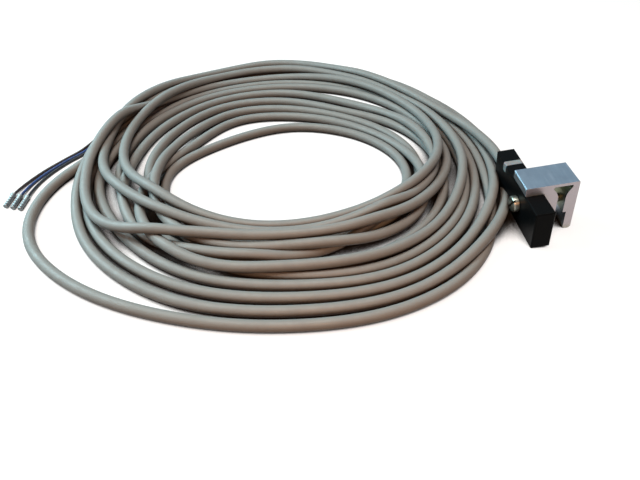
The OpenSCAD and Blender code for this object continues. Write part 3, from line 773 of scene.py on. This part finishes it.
# %% Frosted acrylic and glass
def frosted_window():
    material, tree, mm = start_material("light_window_frosted")
    wear_mm = 0.5
    grain_mm = 1 / 8  # the blasted mould's grain, drawn coarser than it is
    marks = add(tree, "TexNoise", {"Vector": mm, "Scale": 1 / wear_mm, "Detail": 3})
    grain = add(tree, "TexNoise", {"Vector": mm, "Scale": 1 / grain_mm, "Detail": 2})
    marked = add(tree, "MapRange", {"Value": marks, **NOISE_RANGE, "To Min": 0, "To Max": 1})
    milky = add(tree, "Mix", {0: marked, 6: linear("707275"), 7: linear("66696c")},
                data_type="RGBA").outputs[2]
    rough = add(tree, "MapRange", {"Value": marks, **NOISE_RANGE, "To Min": 0.34,
                                   "To Max": 0.48})
    skin = add(tree, "Bump", {"Height": grain, "Distance": 0.01 * MM, "Strength": 0.4})
    surface = add(tree, "BsdfPrincipled", {"Base Color": milky, "Roughness": rough, "IOR": 1.49,
                                           "Subsurface Weight": 0.25,
                                           "Subsurface Scale": 1 * MM, "Normal": skin})
    add(tree, "OutputMaterial", {"Surface": surface})
    return material


def reed_glass():
    material, tree, mm = start_material("reed_glass_green")
    ripple_mm = 5 / 6  # left by the drawing of the glass tube
    marks = add(tree, "TexNoise", {"Vector": mm, "Scale": 1 / ripple_mm, "Detail": 2})
    tint = add(tree, "Mix", {0: marks, 6: linear("b6d0be"), 7: linear("a8c4b2")},
               data_type="RGBA").outputs[2]
    rough = add(tree, "MapRange", {"Value": marks, **NOISE_RANGE, "To Min": 0.02,
                                   "To Max": 0.06})
    surface = add(tree, "BsdfPrincipled", {"Base Color": tint, "IOR": 1.52, "Roughness": rough,
                                           "Transmission Weight": 0.85})
    add(tree, "OutputMaterial", {"Surface": surface})
    return material


dress("light_window", frosted_window())
dress("reed_glass", reed_glass())
print("materials", len(bpy.data.materials))

# %% [markdown]
# The sensor lies on a plain floor that runs far past the picture, so no edge shows from any
# side. It belongs to the stage, not to the sensor.

# %% Floor
FLOOR_HALF = 3000

floor = new_mesh("floor", [(-FLOOR_HALF, -FLOOR_HALF, 0), (FLOOR_HALF, -FLOOR_HALF, 0),
                           (FLOOR_HALF, FLOOR_HALF, 0), (-FLOOR_HALF, FLOOR_HALF, 0)],
                 [(0, 1, 2, 3)], smooth=False)
print("floor", 2 * FLOOR_HALF * MM, "m wide")

# %% [markdown]
# What the camera sees of the floor is matt, pale and glows a little, so the background stays
# white and still takes a soft shadow. Far from the lamps it would turn grey, so the glow grows
# with the distance. In the gaps between two turns, where the sky is hidden, the floor is painted
# nearly black as painted shade: ambient occlusion tells the shader how much of the sky a point
# of floor can see.

# %% Floor as the camera sees it
GLOW_SHARE = 0.8

material = bpy.data.materials.new("floor_pale")
material.use_nodes = True
tree = material.node_tree
tree.nodes.clear()
# painted shade: a nearly black floor for the gaps between turns, where ambient occlusion finds the
# sky hidden
gap = add(tree, "BsdfDiffuse", {"Color": linear("1d1b19")})
pale = add(tree, "BsdfDiffuse", {"Color": linear("f4f4f4")})
where = add(tree, "TexCoord", {}).outputs["Object"]
away = add(tree, "VectorMath", {0: where}, operation="LENGTH").outputs["Value"]
glowing = add(tree, "MapRange", {"Value": away, "From Min": 300 * MM, "From Max": 900 * MM,
                                 "To Min": 1.0, "To Max": 1.45})
glow = add(tree, "Emission", {"Color": (1, 1, 1, 1), "Strength": glowing})
lit = add(tree, "MixShader", {0: GLOW_SHARE, 1: pale, 2: glow})
open_sky = add(tree, "AmbientOcclusion", {"Distance": 20 * MM}, samples=16).outputs["AO"]
open_sky = add(tree, "MapRange", {"Value": open_sky, "From Min": 0.22, "From Max": 0.5},
               interpolation_type="SMOOTHSTEP")
shown = add(tree, "MixShader", {0: open_sky, 1: gap, 2: lit})
print("floor nodes so far", len(tree.nodes))

# %% [markdown]
# The floor is two floors in one, and the Light Path node tells which of them a ray sees. The
# camera and the mirror-like reflections see the pale one. All other light sees a dark brown bench
# top, so the undersides of the cable stay dark and warm, as in the photograph. One pale floor for
# both would throw its white light up into every shadow.

# %% Floor as the light sees it
bench = add(tree, "BsdfDiffuse", {"Color": linear("33281e")})
rays = add(tree, "LightPath", {}).outputs
mirrored = add(tree, "Math", {0: rays["Is Glossy Ray"], 1: rays["Is Transmission Ray"]},
               operation="MAXIMUM")
seen = add(tree, "Math", {0: rays["Is Camera Ray"], 1: mirrored}, operation="MAXIMUM")
both = add(tree, "MixShader", {0: seen, 1: bench, 2: shown})
add(tree, "OutputMaterial", {"Surface": both})
dress("floor", material)
print("floor nodes", len(tree.nodes))

# %% [markdown]
# Three lamps make the light: a cool window to the left, a large and slightly warm ceiling lamp,
# and a small warm lamp low behind the camera. A lamp that stands near fades with distance, so the
# left side and the back of the coil stay cool and its front turns warm. One lamp of a mixed
# colour would tint every side alike.

# %% Lamps
def softbox(name, place_mm, aim_mm, size_mm, watts, colour):
    light = bpy.data.lights.new(name, "AREA")
    light.shape, light.size, light.size_y = "RECTANGLE", size_mm[0] * MM, size_mm[1] * MM
    light.energy, light.color = watts, linear(colour)[:3]
    lamp = bpy.data.objects.new(name, light)
    lamp.location = Vector(place_mm) * MM
    lamp.rotation_mode = "QUATERNION"
    lamp.rotation_quaternion = (Vector(aim_mm) - Vector(place_mm)).to_track_quat("-Z", "Y")
    bpy.context.scene.collection.objects.link(lamp)
    print(name, watts, "W")


softbox("window_left", (-410, 130, 270), (-130, 45, 0), (320, 220), 4.8, "b3dae2")
softbox("ceiling", (-120, 20, 620), (-82, 40, 0), (300, 300), 4.2, "fff1e5")
softbox("warm_lamp", (-75, -175, 155), (-75, -35, 0), (120, 50), 0.36, "ffb27a")

# %% [markdown]
# The room around is the world. The camera sees it white, like paper behind a product, and so does
# what is seen through glass. Reflections see a pale blue, which gives the bracket the colour of
# the sky in a window, and all other light is a weak, cool grey that fills the shadows. The view
# transform is Standard, so a colour comes out as it was written.

# %% Room
ROOM_LIGHT, SKY_IN_METAL = 0.36, 0.7

world = bpy.data.worlds.new("room")
world.use_nodes = True
sky = world.node_tree
sky.nodes.clear()
sky_rays = add(sky, "LightPath", {}).outputs
room = add(sky, "Background", {"Color": linear("afbabe"), "Strength": ROOM_LIGHT})
white = add(sky, "Background", {"Color": (1, 1, 1, 1), "Strength": 1.0})
pale_blue = add(sky, "Background", {"Color": linear("bcd2e2"), "Strength": SKY_IN_METAL})
for_gloss = add(sky, "MixShader", {0: sky_rays["Is Glossy Ray"], 1: room, 2: pale_blue})
straight = add(sky, "Math", {0: sky_rays["Is Camera Ray"], 1: sky_rays["Is Transmission Ray"]},
               operation="MAXIMUM")
mixed = add(sky, "MixShader", {0: straight, 1: for_gloss, 2: white})
add(sky, "OutputWorld", {"Surface": mixed})
bpy.context.scene.world = world
bpy.context.scene.view_settings.view_transform = "Standard"
print("room", ROOM_LIGHT, "view", bpy.context.scene.view_settings.view_transform)
